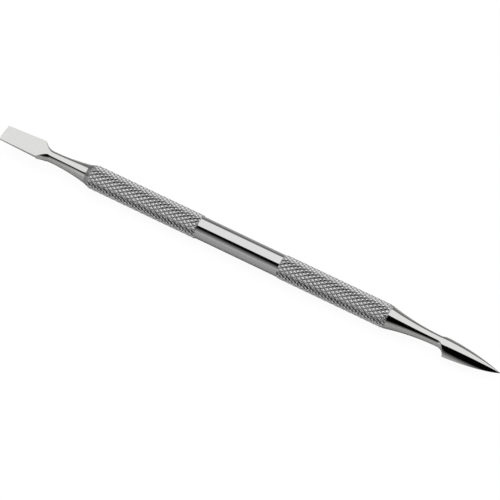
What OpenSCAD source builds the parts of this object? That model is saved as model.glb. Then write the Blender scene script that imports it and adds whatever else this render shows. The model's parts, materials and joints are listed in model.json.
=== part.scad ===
// Double-ended cuticle pusher. A round handle with two knurled grips and a smooth centre
// band carries a flat pushing blade at one end and a pointed nail cleaner at the other.
// +X runs from the blade to the point along the handle's axis and +Z is the side that the
// blade's face looks to. The origin is on the axis, halfway along the tool. Millimetres.

/* [Handle] */
// Diameter over the crests of the knurl
grip_d = 5.8; // [5.6:0.1:8]
// Diameter of the smooth centre band
band_d = 5.4; // [4.8:0.05:5.45]
// Length of the smooth centre band
band_l = 21.6; // [10:0.1:40]
// Length of the knurled grip next to the blade
blade_grip_l = 30.1; // [15:0.1:50]
// Length of the knurled grip next to the point
point_grip_l = 28.2; // [15:0.1:50]
// Length of the bevel between a grip and the centre band
band_bevel = 0.3; // [0.1:0.1:1]
// Length of the chamfer on the blade end of the handle
blade_chamfer_l = 1.6; // [0.5:0.1:3]
// Length of the chamfer on the point end of the handle
point_chamfer_l = 0.9; // [0.5:0.1:3]

/* [Necks] */
// Diameter of the blade's neck where it meets the handle
blade_root_d = 4.7; // [4.4:0.1:5.4]
// Diameter of the blade's neck at its waist
blade_waist_d = 2.8; // [2.4:0.1:3.6]
// Length of the blade's neck from the handle to its waist
blade_neck_l = 10; // [8:0.1:16]
// Diameter of the point's neck where it meets the handle
point_root_d = 5.4; // [4.4:0.1:5.4]
// Diameter of the point's neck at its waist
point_waist_d = 2.7; // [2.4:0.1:3.4]
// Length of the point's neck from the handle to its waist
point_neck_l = 12.6; // [8:0.1:16]

/* [Blade] */
// Length of the flat blade up to its shoulders
blade_l = 10.2; // [6:0.1:16]
// Width of the blade at its working end
blade_end_w = 4.3; // [3:0.1:4.6]
// Width of the blade at its shoulders
blade_heel_w = 5; // [4:0.1:5.2]
// Thickness of the blade at its working end
blade_end_t = 0.45; // [0.3:0.05:1]
// Thickness of the blade at its shoulders
blade_heel_t = 0.7; // [0.5:0.05:1.2]
// Radius of the hollow between the blade's shoulders and its neck
shoulder_r = 3.8; // [2.8:0.1:6]
// Slope of the blade's face, down towards its working end
face_slope = 2.3; // [0:0.1:5]

/* [Point] */
// Length of the point from its heel to its tip
point_l = 13.5; // [13.4:0.1:13.5]
// How much larger the radius of the point's broad side is than its round side's
broad_extra_r = 2.1; // [0.5:0.1:2.5]
// Turn of its ridge about the handle's axis, from the top towards the broad side
ridge_turn = 31; // [0:1:40]
// Radius of the hollow between the point's heel and its neck
heel_r = 2.2; // [1.8:0.1:3]
// Depth of the point's flat back below the handle's axis
back_depth = 0.85; // [0.75:0.05:0.9]

/* [Joints] */
// Diameter of the tangs pressed into the handle
tang_d = 3.4; // [2:0.1:3.6]
// Length of the tangs
tang_l = 12; // [6:0.5:14]
// Room left in a socket beyond the end of its tang
socket_room = 0.5; // [0.2:0.1:2]

/* [Hidden] */
$fn = 180;

// Radii
grip_r = grip_d / 2;
band_r = band_d / 2;
blade_root_r = blade_root_d / 2;
blade_waist_r = blade_waist_d / 2;
point_root_r = point_root_d / 2;
point_waist_r = point_waist_d / 2;
tang_r = tang_d / 2;

// The blade's face is a plane that just clears the top of the waist, drop below it at a
// distance along X. The shoulders' hollow flares out of the waist until it reaches the
// corners of the face, so its length follows from its radius and that rise.
skim = 0.03;
shoulder_face_z = blade_waist_r + skim - shoulder_r * tan(face_slope);
shoulder_rise = norm([blade_heel_w / 2, shoulder_face_z]) - blade_waist_r;
blade_flare_l = sqrt(shoulder_r * shoulder_r - pow(shoulder_r - shoulder_rise, 2));
point_flare_l = heel_r;

// Stations along X, from the blade's working end to the tip of the point
handle_l = blade_grip_l + band_l + point_grip_l;
blade_side_l = blade_l + blade_flare_l + blade_neck_l;
point_side_l = point_neck_l + point_flare_l + point_l;
total_l = blade_side_l + handle_l + point_side_l;
blade_end_x = -total_l / 2;
shoulder_x = blade_end_x + blade_l;
blade_waist_x = shoulder_x + blade_flare_l;
handle_x0 = blade_end_x + blade_side_l;
band_x0 = handle_x0 + blade_grip_l;
band_x1 = band_x0 + band_l;
handle_x1 = band_x1 + point_grip_l;
point_waist_x = handle_x1 + point_neck_l;
heel_x = point_waist_x + point_flare_l;
tip_x = total_l / 2;

// Radius of the long hollow of a neck that widens from waist_r to root_r over length l
function neck_curve_r(root_r, waist_r, l) =
    (l * l + pow(root_r - waist_r, 2)) / (2 * (root_r - waist_r));

// Distance by which a cut or a joined part runs past what it meets
past = 1;

// The point has an axis of its own, just above its flat back and a little to the broad
// side, where its tip lies. The ridge parts its round side from its broad side. The round
// side's radius is point_heel_r at the heel and falls to nothing along an arc of ogive_r.
point_heel_r = 2.15;
ogive_r = 60;
point_y = -0.12;
point_z = -back_depth + skim;
blank_r = 4;

// A solid turned about the X axis, from a 2D outline of radius (x) against place (y)
module turned() {
    rotate([0, 90, 0]) rotate_extrude() children();
}

// A solid cut right across the tool, from a 2D outline of place along X (x) against Z (y)
module profiled() {
    rotate([90, 0, 0]) linear_extrude(4 * blank_r, center = true) children();
}

// Outline of the hollow side of a neck between two places, waist at place x_waist
module hollow_outline(x0, x1, x_waist, waist_r, curve_r) {
    difference() {
        translate([0, x0]) square([blank_r, x1 - x0]);
        translate([waist_r + curve_r, x_waist]) circle(curve_r, $fn = 360);
    }
}

// Round tang with a chamfered end. It runs from place x, the end face of the handle, for
// a length tang_l along dir, which is 1 towards +X and -1 towards -X.
module tang(x, dir) {
    chamfer = 0.4;
    translate([x, 0, 0]) rotate([0, 90 * dir, 0]) {
        translate([0, 0, -past]) cylinder(h = tang_l - chamfer + past, r = tang_r);
        translate([0, 0, tang_l - chamfer]) cylinder(h = chamfer, r1 = tang_r, r2 = tang_r - chamfer);
    }
}

// Blind hole for a tang, opening at place x and drilled along dir to a 118 degree point
module socket(x, dir) {
    depth = tang_l + socket_room;
    translate([x, 0, 0]) rotate([0, 90 * dir, 0]) {
        cylinder(h = depth, r = tang_r);
        translate([0, 0, depth]) cylinder(h = tang_r / tan(59), r1 = tang_r, r2 = 0);
    }
}

module handle() {
    color("silver") difference() {
        turned() polygon([
            [0, handle_x0], [blade_root_r, handle_x0],
            [grip_r, handle_x0 + blade_chamfer_l], [grip_r, band_x0 - band_bevel],
            [band_r, band_x0], [band_r, band_x1],
            [grip_r, band_x1 + band_bevel], [grip_r, handle_x1 - point_chamfer_l],
            [point_root_r, handle_x1], [0, handle_x1]
        ]);
        socket(handle_x0, 1);
        socket(handle_x1, -1);
    }
}

// Side view of the blade: a sloping face, a back that thickens towards the shoulders, and
// a ramp down from there to the underside of the neck
module blade_side() {
    face_z = function (x) blade_waist_r + skim - (blade_waist_x - x) * tan(face_slope);
    ramp_x = blade_waist_x - 0.4;
    polygon([
        [blade_end_x, face_z(blade_end_x)], [blade_waist_x, face_z(blade_waist_x)],
        [blade_waist_x, blank_r], [handle_x0 + past, blank_r],
        [handle_x0 + past, -blank_r], [ramp_x + past, -blank_r],
        [ramp_x, -blade_waist_r - skim],
        [shoulder_x - 0.2, face_z(shoulder_x) - blade_heel_t],
        [blade_end_x, face_z(blade_end_x) - blade_end_t]
    ]);
}

// Plan of the blade: straight sides that widen from its working end, through the shoulders
// and on past the neck
module blade_plan() {
    widening = (blade_heel_w - blade_end_w) / 2 / blade_l;
    root_half_w = blade_heel_w / 2 + widening * (handle_x0 - shoulder_x);
    polygon([
        [blade_end_x, -blade_end_w / 2], [handle_x0, -root_half_w],
        [handle_x0, root_half_w], [blade_end_x, blade_end_w / 2]
    ]);
}

module pusher_end() {
    neck_r = neck_curve_r(blade_root_r, blade_waist_r, blade_neck_l);
    color("gainsboro") {
        intersection() {
            turned() {
                hollow_outline(blade_waist_x - skim, handle_x0, blade_waist_x, blade_waist_r, neck_r);
                hollow_outline(shoulder_x, blade_waist_x, blade_waist_x, blade_waist_r, shoulder_r);
                translate([0, blade_end_x]) square([blank_r, blade_l]);
            }
            profiled() blade_side();
            linear_extrude(4 * blank_r, center = true) blade_plan();
        }
        tang(handle_x0, 1);
    }
}

// Outline of the point about its own axis: straight behind the heel, then one long arc
// from the heel to the tip, with every radius made larger by extra
module ogive_outline(extra) {
    chord = norm([point_l, point_heel_r]);
    from_chord = sqrt(ogive_r * ogive_r - chord * chord / 4);
    centre = [point_heel_r / 2 - from_chord * point_l / chord + extra,
              heel_x + point_l / 2 - from_chord * point_heel_r / chord];
    translate([0, point_waist_x]) square([point_heel_r + extra, heel_x - point_waist_x]);
    intersection() {
        translate(centre) circle(ogive_r, $fn = 360);
        translate([0, heel_x]) square([point_heel_r + extra, point_l]);
    }
}

// The space that the point may fill. Its round side is turned about its own axis. Its
// broad side is turned about an axis further down, so that the two meet at the ridge.
module point_envelope() {
    translate([0, point_y, point_z]) rotate([ridge_turn, 0, 0]) {
        turned() ogive_outline(0);
        intersection() {
            translate([0, 0, -broad_extra_r]) turned() ogive_outline(broad_extra_r);
            translate([point_waist_x, -2 * blank_r, -blank_r])
                cube([tip_x - point_waist_x, 2 * blank_r, 2 * blank_r]);
        }
    }
}

// Side view of the point: a ramp up from the underside of the neck, then the flat back
module point_side() {
    polygon([
        [point_waist_x - past, -point_waist_r - skim], [point_waist_x, -point_waist_r - skim],
        [heel_x, -back_depth], [tip_x + past, -back_depth],
        [tip_x + past, blank_r], [point_waist_x - past, blank_r]
    ]);
}

module point_end() {
    neck_r = neck_curve_r(point_root_r, point_waist_r, point_neck_l);
    color("gainsboro") {
        turned() hollow_outline(handle_x1, point_waist_x + skim, point_waist_x, point_waist_r, neck_r);
        intersection() {
            turned() {
                hollow_outline(point_waist_x, heel_x, point_waist_x, point_waist_r, heel_r);
                translate([0, heel_x]) square([blank_r, point_l]);
            }
            point_envelope();
            profiled() point_side();
        }
        tang(handle_x1, -1);
    }
}

handle();
pusher_end();
point_end();
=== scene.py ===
"""Looks of the double-ended cuticle pusher: knurled handle, polished blade and point.

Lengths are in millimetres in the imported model's frame, +X from the blade to the point and
+Z up, and are turned into metres when a mesh is made. The camera's distance and the
floor's size are in metres.
"""
import json
import math

import bpy
import numpy as np
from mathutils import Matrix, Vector


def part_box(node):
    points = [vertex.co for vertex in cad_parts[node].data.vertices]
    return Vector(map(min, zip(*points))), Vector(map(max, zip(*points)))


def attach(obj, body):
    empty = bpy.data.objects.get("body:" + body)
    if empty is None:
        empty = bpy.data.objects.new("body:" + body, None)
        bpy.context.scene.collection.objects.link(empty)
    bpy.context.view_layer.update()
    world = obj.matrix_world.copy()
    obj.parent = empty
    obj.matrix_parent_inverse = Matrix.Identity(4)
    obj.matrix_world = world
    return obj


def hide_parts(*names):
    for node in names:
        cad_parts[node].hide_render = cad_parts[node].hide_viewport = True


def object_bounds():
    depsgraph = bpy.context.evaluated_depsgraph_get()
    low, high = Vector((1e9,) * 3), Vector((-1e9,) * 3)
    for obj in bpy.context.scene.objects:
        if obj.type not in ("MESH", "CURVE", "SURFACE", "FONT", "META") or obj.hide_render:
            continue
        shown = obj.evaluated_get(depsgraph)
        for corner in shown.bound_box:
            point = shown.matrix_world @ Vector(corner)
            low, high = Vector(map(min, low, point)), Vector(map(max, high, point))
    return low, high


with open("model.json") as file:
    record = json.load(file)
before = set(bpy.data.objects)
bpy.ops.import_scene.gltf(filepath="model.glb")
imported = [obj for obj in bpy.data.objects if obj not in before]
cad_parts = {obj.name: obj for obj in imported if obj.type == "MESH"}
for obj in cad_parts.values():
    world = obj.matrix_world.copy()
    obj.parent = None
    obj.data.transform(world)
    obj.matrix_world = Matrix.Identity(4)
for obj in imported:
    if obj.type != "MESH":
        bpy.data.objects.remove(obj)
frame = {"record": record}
cad_low, cad_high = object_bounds()

MM = 0.001
mounts = {m["name"]: m for m in frame["record"]["mounts"]}


def node_span(node):
    """Lowest and highest corner of a CAD node, in millimetres."""
    low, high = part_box(node)
    return np.array(low) / MM, np.array(high) / MM


def grip_span(name):
    """Where the straight part of a knurled grip starts and ends along X."""
    middle, half = mounts[name]["pos_m"][0] / MM, mounts[name]["dims"]["length_mm"] / 2
    return middle - half, middle + half


def neck_curve(root_r, waist_r, length):
    """Radius of the arc that widens from waist_r to root_r over a length."""
    rise = root_r - waist_r
    return (length * length + rise * rise) / (2 * rise)


# ---------------------------------------------------------------- sizes from the frame

handle_low, handle_high = node_span("handle")
blade_low, blade_high = node_span("pusher_end")
HANDLE_X0, HANDLE_X1 = handle_low[0], handle_high[0]
GRIP_R = mounts["blade_grip"]["dims"]["r_mm"]
BLADE_GRIP_X0, BLADE_GRIP_X1 = grip_span("blade_grip")
POINT_GRIP_X0, POINT_GRIP_X1 = grip_span("point_grip")
BLADE_END_X = blade_low[0]
BLADE_ROOT_R = blade_high[2]
POINT_ROOT_R = node_span("point_end")[1][2]
TIP_X = -BLADE_END_X             # the origin is halfway along the tool

# ---------------------------------------------------------------- driving dimensions

SKIM = 0.03              # how far apart surfaces are that would otherwise just touch

# handle
BAND_R = 2.7
BAND_BEVEL = 0.3
KNURL_STARTS = 18
KNURL_PITCH = 1.576      # along the axis
KNURL_DEPTH = 0.24
KNURL_FLAT = 0.36        # share of the pitch that stays flat on a crest

# pusher end
BLADE_L = 10.2
BLADE_END_W = 4.3
BLADE_HEEL_W = 5.0
BLADE_END_T = 0.45
BLADE_HEEL_T = 0.7
BLADE_WAIST_R = 1.4
BLADE_NECK_L = 10.0
SHOULDER_R = 3.8
FACE_SLOPE = math.radians(2.3)
RAMP_LEAD = 0.2          # how far before the shoulders the ramp under the blade starts
RAMP_GAP = 0.4           # how far before the waist it ends
EDGE_R = 0.05            # rounding of the blade's working end

# point end
POINT_L = 13.5
POINT_HEEL_R = 2.15
POINT_WAIST_R = 1.35
POINT_NECK_L = 12.6
OGIVE_R = 60.0
HEEL_R = 2.2
BACK_DEPTH = 0.85
POINT_AXIS = (-0.12, SKIM - BACK_DEPTH)     # where the tip lies, seen along X
RIDGE_TURN = math.radians(31)
BROAD_EXTRA_R = 2.1      # how much larger the broad side's radius is

# joints
TANG_R = 1.7
TANG_L = 12.0
TANG_CHAMFER = 0.4
SOCKET_ROOM = 0.5
DRILL_POINT = math.radians(59)
DRILL_TIP_R = 0.001

# places that follow
BAND_X0, BAND_X1 = BLADE_GRIP_X1 + BAND_BEVEL, POINT_GRIP_X0 - BAND_BEVEL
SHOULDER_X = BLADE_END_X + BLADE_L
BLADE_WAIST_X = HANDLE_X0 - BLADE_NECK_L
BLADE_NECK_CURVE = neck_curve(BLADE_ROOT_R, BLADE_WAIST_R, BLADE_NECK_L)
SHOULDER_FACE_Z = BLADE_WAIST_R + SKIM - SHOULDER_R * math.tan(FACE_SLOPE)
RAMP_X0, RAMP_X1 = SHOULDER_X - RAMP_LEAD, BLADE_WAIST_X - RAMP_GAP
POINT_WAIST_X = HANDLE_X1 + POINT_NECK_L
POINT_NECK_CURVE = neck_curve(POINT_ROOT_R, POINT_WAIST_R, POINT_NECK_L)
HEEL_X = POINT_WAIST_X + HEEL_R

# ---------------------------------------------------------------- fineness of the meshes

RING = 160               # points round a section of the two ends
RAYS = 3601              # rays that find a section's outline
CROWDING = 0.8           # how strongly a section's points crowd where it turns
CORNER = 60.0            # the higher, the sharper a section's corners
FAR = 50.0               # a limit that never touches a section
SHORTEST = 1e-6          # least length of a ray
LEVEL = 1e-9             # a ray that rises or spreads less than this runs level

BLADE_STEP = 0.25        # distance between sections
SHOULDER_STEP = 0.05
BLADE_NECK_STEP = 0.15
POINT_STEP = 0.15
POINT_NECK_STEP = 0.2
EDGE_RINGS = 6
HEEL_RINGS = 40
TIP_RINGS = 16
FINE_LEAD = 0.3          # how far before the shoulders the fine steps start
ROUND_L = 0.3            # length next to the blade's waist that is cut by nothing
TIP_L = 0.6              # length of the tip, where sections draw closer together
TIP_TURN = 0.46 * math.pi        # a quarter turn would put the last one on the tip itself
RAYS_RISE = 0.3          # height of the rays' origin over the point's axis, in radii

KNURL_STEPS = 8          # mesh steps in one pitch, and round one start
KNURL_COLUMNS = KNURL_STARTS * KNURL_STEPS
KNURL_STEP = KNURL_PITCH / KNURL_STEPS
KNURL_EDGE = 0.01        # gap between the knurl's outer rows and the row beyond them
SHORT_STEP = 0.3         # a last step shorter than this share joins the one before
BAND_ROWS = 40

# ---------------------------------------------------------------- sections and lofts


def hollow(x, waist_x, waist_r, curve_r):
    """Radius at x of a body whose side is an arc of radius curve_r, waist at waist_x."""
    reach = np.clip(np.abs(x - waist_x) / curve_r, 0, 1)
    return waist_r + curve_r * (1 - np.sqrt(1 - reach * reach))


def inside_circle(centre, radius):
    """A limit: how far rays from an origin run, along (y, z), before they reach a circle."""
    def limit(origin, y, z):
        dy, dz = origin[0] - centre[0], origin[1] - centre[1]
        along = y * dy + z * dz
        return -along + np.sqrt(np.maximum(along**2 + radius**2 - dy * dy - dz * dz, 0))
    return limit


def under(height):
    """The limit of a level line above the origin."""
    def limit(origin, y, z):
        return np.where(z > LEVEL, (height - origin[1]) / np.maximum(z, LEVEL), FAR)
    return limit


def over(height):
    """The limit of a level line below the origin."""
    def limit(origin, y, z):
        return np.where(z < -LEVEL, (height - origin[1]) / np.minimum(z, -LEVEL), FAR)
    return limit


def between(half):
    """The limit of two upright lines on either side of the tool's middle plane."""
    return lambda origin, y, z: half / np.maximum(np.abs(y), LEVEL)


def inside_leaf(centre, radius):
    """The limit of the point's outline: a circle that swells beyond its ridge to the
    larger radius of the broad side."""
    round_side = inside_circle(centre, radius)
    lower = (centre[0] + BROAD_EXTRA_R * math.sin(RIDGE_TURN),
             centre[1] - BROAD_EXTRA_R * math.cos(RIDGE_TURN))
    broad_side = inside_circle(lower, radius + BROAD_EXTRA_R)

    def limit(origin, y, z):
        reach = round_side(origin, y, z)
        across = ((origin[0] + reach * y - centre[0]) * -math.cos(RIDGE_TURN)
                  + (origin[1] + reach * z - centre[1]) * -math.sin(RIDGE_TURN))
        return np.where(across > 0, broad_side(origin, y, z), reach)
    return limit


def section(origin, limits):
    """One closed ring of (y, z) points: how far each ray from the origin runs before the
    first limit, corners slightly rounded."""
    turn = np.linspace(-math.pi / 2, 1.5 * math.pi, RAYS)
    y, z = np.cos(turn), np.sin(turn)
    reach = [np.maximum(limit(origin, y, z), SHORTEST) for limit in limits]
    nearest = np.minimum.reduce(reach)
    distance = nearest * sum((nearest / r) ** CORNER for r in reach) ** (-1 / CORNER)
    y, z = origin[0] + distance * y, origin[1] + distance * z
    # points crowd where the outline turns, so that the edges stay smooth
    step = np.hypot(np.diff(y), np.diff(z))
    heading = np.unwrap(np.arctan2(np.diff(z), np.diff(y)))
    turning = np.abs(np.diff(heading, prepend=heading[0]))
    measure = step / step.sum() + CROWDING * turning / turning.sum()
    measure = np.concatenate([[0], np.cumsum(measure)])
    even = np.linspace(0, measure[-1], RING + 1)[:-1]
    return np.column_stack([np.interp(even, measure, y), np.interp(even, measure, z)])


def round_section(radius):
    """The section of a round stretch."""
    return section((0, 0), [inside_circle((0, 0), radius)])


def spaced(start, end, step):
    """Even stations from start up to, but not including, end, about a step apart."""
    count = max(2, round(abs(end - start) / step) + 1)
    return np.linspace(start, end, count)[:-1]


def new_object(name, data):
    """An object in the scene."""
    made = bpy.data.objects.new(name, data)
    bpy.context.scene.collection.objects.link(made)
    return made


def mesh_object(name, points, faces, sharp_angle):
    """A shaded mesh object from points in millimetres."""
    mesh = bpy.data.meshes.new(name)
    mesh.from_pydata((np.vstack(points) * MM).tolist(), [], faces)
    mesh.validate()
    mesh.update()
    mesh.shade_smooth()
    mesh.set_sharp_from_angle(angle=math.radians(sharp_angle))
    return new_object(name, mesh)


def squares(row, columns):
    """The faces between one row of a body's points and the next."""
    a, b = row * columns, (row + 1) * columns
    return [(a + i, a + (i + 1) % columns, b + (i + 1) % columns, b + i)
            for i in range(columns)]


def end_caps(rows, columns):
    """The faces that close the first and the last row of a body."""
    last = (rows - 1) * columns
    return [tuple(range(columns - 1, -1, -1)), tuple(range(last, last + columns))]


def loft(name, stations, rings):
    """A closed body through rings of (y, z) points at stations along X, ends capped."""
    points = [np.column_stack([np.full(RING, x), ring]) for x, ring in zip(stations, rings)]
    faces = []
    for row in range(len(rings) - 1):
        faces += squares(row, RING)
    return mesh_object(name, points, faces + end_caps(len(rings), RING), sharp_angle=40)


def tang_rings(face_x, direction):
    """Stations and rings of a tang, from the handle's end face inwards."""
    end_x = face_x + direction * TANG_L
    stations = [face_x, end_x - direction * TANG_CHAMFER, end_x]
    return stations, [round_section(r) for r in (TANG_R, TANG_R, TANG_R - TANG_CHAMFER)]


# ---------------------------------------------------------------- pusher end


def blade_section(x, inset=0.0):
    """The blade end's section: a turned body cut by the face, the back and the sides."""
    if x > BLADE_WAIST_X - ROUND_L:
        curve_r = BLADE_NECK_CURVE if x > BLADE_WAIST_X else SHOULDER_R
        return round_section(hollow(x, BLADE_WAIST_X, BLADE_WAIST_R, curve_r))
    face = BLADE_WAIST_R + SKIM - (BLADE_WAIST_X - x) * math.tan(FACE_SLOPE)
    share = (x - BLADE_END_X) / BLADE_L
    side = (BLADE_END_W + (BLADE_HEEL_W - BLADE_END_W) * share) / 2
    back = face - (BLADE_END_T + (BLADE_HEEL_T - BLADE_END_T) * min(share, 1))
    # the back runs down a ramp to the underside of the neck
    ramp = max(0, (x - RAMP_X0) / (RAMP_X1 - RAMP_X0))
    back -= ramp * (SHOULDER_FACE_Z - BLADE_HEEL_T + BLADE_WAIST_R + SKIM)
    limits = [under(face - inset), over(back + inset), between(side - inset)]
    if x > SHOULDER_X:
        radius = hollow(x, BLADE_WAIST_X, BLADE_WAIST_R, SHOULDER_R)
        limits.append(inside_circle((0, 0), radius))
        face, back = min(face, radius), max(back, -radius)
    return section((0, (face + back) / 2), limits)


def pusher_end():
    """The blade, its shoulders, its neck and its tang."""
    stations, rings = [], []
    for turn in np.linspace(math.pi / 2, 0, EDGE_RINGS):
        x = BLADE_END_X + EDGE_R * (1 - math.sin(turn))
        stations.append(x)
        rings.append(blade_section(x, EDGE_R * (1 - math.cos(turn))))
    body = np.concatenate([
        spaced(BLADE_END_X + 2 * EDGE_R, SHOULDER_X - FINE_LEAD, BLADE_STEP),
        spaced(SHOULDER_X - FINE_LEAD, BLADE_WAIST_X, SHOULDER_STEP),
        spaced(BLADE_WAIST_X, HANDLE_X0, BLADE_NECK_STEP), [HANDLE_X0]])
    stations += list(body)
    rings += [blade_section(x) for x in body]
    tang_x, tang = tang_rings(HANDLE_X0, 1)
    return loft("pusher_blade", stations + tang_x, rings + tang)


# ---------------------------------------------------------------- point end


def ogive(x):
    """Radius of the point about its own axis: one long arc from the heel to the tip."""
    if x <= HEEL_X:
        return POINT_HEEL_R
    chord = math.hypot(POINT_L, POINT_HEEL_R)
    rise = math.sqrt(OGIVE_R**2 - chord**2 / 4)
    centre_r = POINT_HEEL_R / 2 - rise * POINT_L / chord
    centre_x = HEEL_X + POINT_L / 2 - rise * POINT_HEEL_R / chord
    return centre_r + math.sqrt(OGIVE_R**2 - (x - centre_x) ** 2)


def point_section(x):
    """The point end's section: round up to the waist, then a leaf cut by the flat back and,
    up to the heel, by the hollow behind it."""
    if x < POINT_WAIST_X:
        return round_section(hollow(x, POINT_WAIST_X, POINT_WAIST_R, POINT_NECK_CURVE))
    back = np.interp(x, (POINT_WAIST_X, HEEL_X), (-POINT_WAIST_R - SKIM, -BACK_DEPTH))
    limits = [inside_leaf(POINT_AXIS, ogive(x)), over(back)]
    if x < HEEL_X:
        limits.append(inside_circle((0, 0), hollow(x, POINT_WAIST_X, POINT_WAIST_R, HEEL_R)))
    return section((POINT_AXIS[0], POINT_AXIS[1] + RAYS_RISE * ogive(x)), limits)


def point_end():
    """The pointed nail cleaner, its neck and its tang."""
    body = np.concatenate([
        spaced(HANDLE_X1, POINT_WAIST_X, POINT_NECK_STEP),
        POINT_WAIST_X + HEEL_R * np.sin(np.linspace(0, math.pi / 2, HEEL_RINGS)),
        spaced(HEEL_X + SKIM, TIP_X - TIP_L, POINT_STEP),
        TIP_X - TIP_L * np.cos(np.linspace(0, TIP_TURN, TIP_RINGS))])
    tang_x, tang = tang_rings(HANDLE_X1, -1)
    return loft("point_blade", tang_x[::-1] + list(body),
                tang[::-1] + [point_section(x) for x in body])


# ---------------------------------------------------------------- handle


def handle_profile(x):
    """Radius of the handle before it is knurled."""
    path = [
        (HANDLE_X0, BLADE_ROOT_R), (BLADE_GRIP_X0, GRIP_R), (BLADE_GRIP_X1, GRIP_R),
        (BAND_X0, BAND_R), (BAND_X1, BAND_R),
        (POINT_GRIP_X0, GRIP_R), (POINT_GRIP_X1, GRIP_R), (HANDLE_X1, POINT_ROOT_R)]
    return np.interp(x, [p[0] for p in path], [p[1] for p in path])


def knurl_radius(column, x, start):
    """Radius of a grip that is knurled from start on. Crossed V grooves leave flat-topped
    pyramids, and the chamfers and bevels cut them down."""
    across = column / KNURL_STEPS
    along = (x - start) / KNURL_PITCH
    height = 1.0
    for phase in (across + along, across - along):
        ridge = 1 - np.abs(2 * (phase % 1.0) - 1)
        height = np.minimum(height, np.clip(ridge / (1 - KNURL_FLAT), 0, 1))
    return np.minimum(GRIP_R - KNURL_DEPTH * (1 - height), handle_profile(x))


def knurled_rows(start, end):
    """Mesh rows (place, radius in each column) of one grip."""
    places = list(np.arange(start, end - SHORT_STEP * KNURL_STEP, KNURL_STEP)) + [end]
    return [(x, knurl_radius(np.arange(KNURL_COLUMNS), x, start)) for x in places]


def plain_rows(*path):
    """Mesh rows of a turned stretch, from its (place, radius) corners."""
    return [(x, np.full(KNURL_COLUMNS, float(radius))) for x, radius in path]


def grip_faces(row, rows, start):
    """Triangles between two mesh rows of a grip. Each square is split along the diagonal
    whose middle lies closer to the true knurl."""
    (x0, low), (x1, high) = rows[row], rows[row + 1]
    faces = []
    for i, (a, b, c, d) in enumerate(squares(row, KNURL_COLUMNS)):
        j = (i + 1) % KNURL_COLUMNS
        true = knurl_radius(i + 0.5, (x0 + x1) / 2, start)
        if abs((low[i] + high[j]) / 2 - true) <= abs((low[j] + high[i]) / 2 - true):
            faces += [(a, b, c), (a, c, d)]
        else:
            faces += [(a, b, d), (b, c, d)]
    return faces


def handle():
    """The knurled grips, the band between them and the two sockets."""
    blade_knurl, point_knurl = HANDLE_X0 + KNURL_EDGE, BAND_X1 + KNURL_EDGE
    depth = TANG_L + SOCKET_ROOM
    drilled = depth + TANG_R / math.tan(DRILL_POINT)
    rows = plain_rows((HANDLE_X0 + drilled, DRILL_TIP_R), (HANDLE_X0 + depth, TANG_R),
                      (HANDLE_X0, TANG_R), (HANDLE_X0, BLADE_ROOT_R))
    rows += knurled_rows(blade_knurl, BAND_X0 - KNURL_EDGE)
    rows += plain_rows(*((x, BAND_R) for x in np.linspace(BAND_X0, BAND_X1, BAND_ROWS)))
    rows += knurled_rows(point_knurl, HANDLE_X1 - KNURL_EDGE)
    rows += plain_rows((HANDLE_X1, POINT_ROOT_R), (HANDLE_X1, TANG_R),
                       (HANDLE_X1 - depth, TANG_R), (HANDLE_X1 - drilled, DRILL_TIP_R))

    turn = 2 * math.pi * np.arange(KNURL_COLUMNS) / KNURL_COLUMNS
    points = [np.column_stack([np.full(KNURL_COLUMNS, x), r * np.cos(turn), r * np.sin(turn)])
              for x, r in rows]
    faces = []
    for row in range(len(rows) - 1):
        if any(np.ptp(radius) > 0 for _, radius in rows[row:row + 2]):
            start = blade_knurl if rows[row][0] < 0 else point_knurl
            faces += grip_faces(row, rows, start)
        else:
            faces += squares(row, KNURL_COLUMNS)
    faces += end_caps(len(rows), KNURL_COLUMNS)
    return mesh_object("knurled_handle", points, faces, sharp_angle=25)


# ---------------------------------------------------------------- materials

GLOSS_SPREAD = 0.2       # share by which the noise varies the roughness
LINE_DEPTH = 0.001       # of the finishing lines


def new_material(name):
    """A material, its node tree and its shader."""
    material = bpy.data.materials.new(name)
    material.use_nodes = True
    return material, material.node_tree, material.node_tree.nodes["Principled BSDF"]


def add_node(tree, kind, inputs=(), **settings):
    """A new shader node. inputs gives, for the name or number of a socket, a plain value or
    the output that feeds it."""
    made = tree.nodes.new(kind)
    for key, value in settings.items():
        setattr(made, key, value)
    for socket, value in dict(inputs).items():
        feed(tree, made.inputs[socket], value)
    return made


def feed(tree, socket, value):
    """Give a socket a plain value, or link an output to it."""
    if isinstance(value, bpy.types.NodeSocket):
        tree.links.new(value, socket)
    else:
        socket.default_value = value


def painted_groove_shade(tree, place, colour, groove_shade):
    """Painted shade: the colour, darkened to groove_shade from the knurl's crests down to its
    grooves.
    """
    flat = add_node(tree, "ShaderNodeVectorMath", {0: place, 1: (0, 1, 1)},
                    operation="MULTIPLY")
    radius = add_node(tree, "ShaderNodeVectorMath", {0: flat.outputs["Vector"]},
                      operation="LENGTH")
    shade_level = add_node(tree, "ShaderNodeMapRange", {
        "Value": radius.outputs["Value"], "To Min": groove_shade,
        "From Min": (GRIP_R - KNURL_DEPTH) * MM, "From Max": GRIP_R * MM})
    shaded = add_node(tree, "ShaderNodeVectorMath", {0: colour, 1: shade_level.outputs["Result"]},
                     operation="MULTIPLY")
    return shaded.outputs["Vector"]


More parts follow.
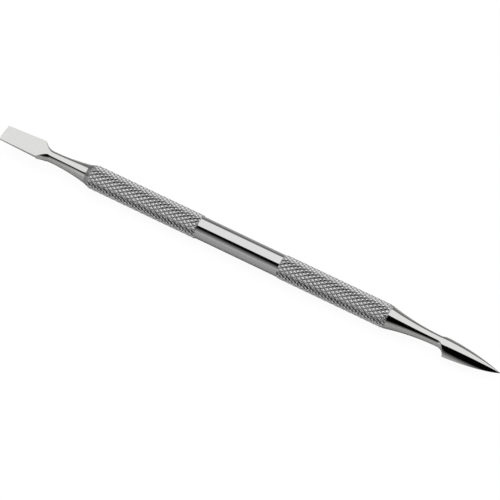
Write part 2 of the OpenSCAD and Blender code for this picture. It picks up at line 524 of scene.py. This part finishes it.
def steel(name, roughness, along, across, bump, shades, blue=1.0, groove_shade=1.0):
    """Stainless steel with fine finishing lines: noise in waves per millimetre along X and
    across it varies the shade, the gloss and the height."""
    material, tree, shader = new_material(name)
    place = add_node(tree, "ShaderNodeTexCoord").outputs["Object"]
    stretch = add_node(tree, "ShaderNodeMapping", {
        "Vector": place, "Scale": (along / MM, across / MM, across / MM)})
    grain = add_node(tree, "ShaderNodeTexNoise", {
        "Vector": stretch.outputs["Vector"], "Scale": 1.0, "Detail": 3.0}).outputs["Fac"]
    shade = add_node(tree, "ShaderNodeValToRGB", {"Fac": grain})
    for stop, level in zip(shade.color_ramp.elements, shades):
        stop.color = (level, level, level * blue, 1)
    gloss = add_node(tree, "ShaderNodeMapRange", {
        "Value": grain, "To Min": roughness * (1 - GLOSS_SPREAD),
        "To Max": roughness * (1 + GLOSS_SPREAD)})
    lines = add_node(tree, "ShaderNodeBump", {
        "Height": grain, "Strength": bump, "Distance": LINE_DEPTH * MM})
    colour = shade.outputs["Color"]
    # painted shade in the knurl's grooves, darkest at their bottom
    if groove_shade < 1:
        colour = painted_groove_shade(tree, place, colour, groove_shade)
    for socket, value in (("Metallic", 1.0), ("Base Color", colour),
                          ("Roughness", gloss.outputs["Result"]),
                          ("Normal", lines.outputs["Normal"])):
        feed(tree, shader.inputs[socket], value)
    return material


# the knurl's grooves get painted shade, down to groove_shade of its colour
knurl_steel = steel("knurled_steel", roughness=0.34, along=3, across=3, bump=0.5,
                    shades=(0.88, 0.97), groove_shade=0.45)
band_steel = steel("turned_steel", roughness=0.06, along=12, across=0.3, bump=0.3,
                   shades=(0.58, 0.66))
ground_steel = steel("polished_steel", roughness=0.07, along=0.6, across=5, bump=0.3,
                     shades=(0.58, 0.66), blue=0.985)

# ---------------------------------------------------------------- build

handle_piece = handle()
blade_piece = pusher_end()
point_piece = point_end()
handle_piece.data.materials.append(knurl_steel)
handle_piece.data.materials.append(band_steel)
for face in handle_piece.data.polygons:
    if BAND_X0 < face.center.x / MM < BAND_X1:
        face.material_index = 1
blade_piece.data.materials.append(ground_steel)
point_piece.data.materials.append(ground_steel)
for piece, node, slot in (
    (handle_piece, "handle", "handle_steel"),
    (blade_piece, "pusher_end", "polished_steel"),
    (point_piece, "point_end", "polished_steel"),
):
    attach(piece, "root")
    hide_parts(node)

# ---------------------------------------------------------------- camera

AZIMUTH, ELEVATION = math.radians(30.28), math.radians(54.6)
DISTANCE = 0.85
AIM = (0.65, 0.21, 0.13)
SENSOR, LENS = 36, 268
TO_CAMERA = Vector((math.sin(AZIMUTH) * math.cos(ELEVATION),
                    -math.cos(AZIMUTH) * math.cos(ELEVATION), math.sin(ELEVATION)))

camera = new_object("camera", bpy.data.cameras.new("camera"))
camera.data.sensor_width = SENSOR
camera.data.lens = LENS
camera.location = Vector(AIM) * MM + TO_CAMERA * DISTANCE
camera.rotation_mode = "QUATERNION"
camera.rotation_quaternion = (-TO_CAMERA).to_track_quat("-Z", "Y")
bpy.context.scene.camera = camera

# ---------------------------------------------------------------- floor

FLOOR_HALF = 6.0
FLOOR_SHADE = 0.85
FLOOR_WHITE = 1.11       # the plain white that the camera sees of the floor
FLOOR_SEEN = 0.85        # its share. The rest is the lit floor, with a faint contact shadow


def floor():
    """A pale table top under the knurl."""
    corners = ((-1, -1), (1, -1), (1, 1), (-1, 1))
    mesh = bpy.data.meshes.new("floor")
    mesh.from_pydata([(x * FLOOR_HALF, y * FLOOR_HALF, cad_low[2]) for x, y in corners],
                     [], [(0, 1, 2, 3)])
    material, tree, shader = new_material("floor")
    shader.inputs["Base Color"].default_value = (FLOOR_SHADE, FLOOR_SHADE, FLOOR_SHADE, 1)
    shader.inputs["Roughness"].default_value = 1.0
    shader.inputs["Specular IOR Level"].default_value = 0.0
    white = add_node(tree, "ShaderNodeEmission", {"Strength": FLOOR_WHITE})
    ray = add_node(tree, "ShaderNodeLightPath")
    share = add_node(tree, "ShaderNodeMath", {0: ray.outputs["Is Camera Ray"], 1: FLOOR_SEEN},
                     operation="MULTIPLY")
    mix = add_node(tree, "ShaderNodeMixShader", {
        0: share.outputs[0], 1: shader.outputs[0], 2: white.outputs[0]})
    tree.links.new(mix.outputs[0], tree.nodes["Material Output"].inputs["Surface"])
    mesh.materials.append(material)
    piece = new_object("floor", mesh)


floor()

# ---------------------------------------------------------------- light tent

# A bright panel hangs overhead. Its edges are places on a plane one unit above the tool.
PANEL_LIGHT = 1.45
PANEL_X = (-1.0, 0.95)
PANEL_Y = (-0.29, 1.7)
PANEL_SKEW = 0.36                # how far its near edge runs off X
PANEL_SOFT = 0.04                # half the width over which that edge fades
PANEL_SOFT_SIDES = 0.12          # and the same for its far edge and its blade side
PANEL_SOFT_POINT = 0.5           # and for its point side
PANEL_GAP = (0.35, 0.7)          # dark strip beside the near edge, and where it has faded
HORIZON = 0.02                   # least height of a direction, so that none is divided by 0

# Grey walls stand round it, with a dark opening about the camera.
WALL_NEAR, WALL_FAR = 0.87, 0.27
WALL_TURN = (-0.2, 0.4)          # between which places in Y the near wall becomes the far one
WALL_FADE = 0.35                 # share of the walls' light that is left at the point's end
WALL_FADE_X = (-0.1, 0.4)        # between which places in X it falls to that
OPENING_DARK = 0.002
OPENING_ANGLES = (math.radians(36), math.radians(67))

WHITE = (0.97, 0.97, 0.97, 1)    # what the camera sees beyond the floor


def tent():
    """Light from every side that gives the steel its reflections, as one world."""
    world = bpy.data.worlds.new("light_tent")
    bpy.context.scene.world = world
    world.use_nodes = True
    tree = world.node_tree
    tree.nodes.clear()

    def maths(operation, a, b=0.0):
        return add_node(tree, "ShaderNodeMath", {0: a, 1: b}, operation=operation).outputs[0]

    def ramp(value, start, end, low=0.0, high=1.0, kind="SMOOTHSTEP"):
        given = dict(enumerate((value, start, end, low, high)))
        return add_node(tree, "ShaderNodeMapRange", given, interpolation_type=kind).outputs[0]

    look = add_node(tree, "ShaderNodeTexCoord").outputs["Generated"]
    x, y, z = add_node(tree, "ShaderNodeSeparateXYZ", {0: look}).outputs

    # the panel
    up = maths("MAXIMUM", z, HORIZON)
    px, py = maths("DIVIDE", x, up), maths("DIVIDE", y, up)
    near = maths("SUBTRACT", py, maths("MULTIPLY", px, PANEL_SKEW))
    panel = ramp(near, PANEL_Y[0] - PANEL_SOFT, PANEL_Y[0] + PANEL_SOFT)
    for value, edge, side, soft in ((py, PANEL_Y[1], -1, PANEL_SOFT_SIDES),
                                    (px, PANEL_X[0], 1, PANEL_SOFT_SIDES),
                                    (px, PANEL_X[1], -1, PANEL_SOFT_POINT)):
        panel = maths("MULTIPLY", panel, ramp(value, edge - side * soft, edge + side * soft))

    # the walls, the opening and the strip beside the panel
    facing = add_node(tree, "ShaderNodeVectorMath", {0: look, 1: TO_CAMERA},
                      operation="DOT_PRODUCT")
    angle = maths("ARCCOSINE", facing.outputs["Value"])
    beside = maths("ABSOLUTE", maths("SUBTRACT", near, PANEL_Y[0]))
    room = maths("MULTIPLY", ramp(y, *WALL_TURN, WALL_NEAR, WALL_FAR),
                 ramp(x, *WALL_FADE_X, 1.0, WALL_FADE))
    room = maths("MULTIPLY", room, ramp(angle, *OPENING_ANGLES, kind="LINEAR"))
    room = maths("MULTIPLY", room, ramp(beside, *PANEL_GAP))
    room = maths("ADD", room, OPENING_DARK)

    light = maths("ADD", maths("MULTIPLY", panel, PANEL_LIGHT),
                  maths("MULTIPLY", maths("SUBTRACT", 1.0, panel), room))
    inside = add_node(tree, "ShaderNodeBackground", {"Strength": light})
    outside = add_node(tree, "ShaderNodeBackground", {"Color": WHITE})
    seen = add_node(tree, "ShaderNodeLightPath").outputs["Is Camera Ray"]
    mix = add_node(tree, "ShaderNodeMixShader", {
        0: seen, 1: inside.outputs[0], 2: outside.outputs[0]})
    add_node(tree, "ShaderNodeOutputWorld", {"Surface": mix.outputs[0]})


tent()
bpy.context.scene.view_settings.view_transform = "Standard"
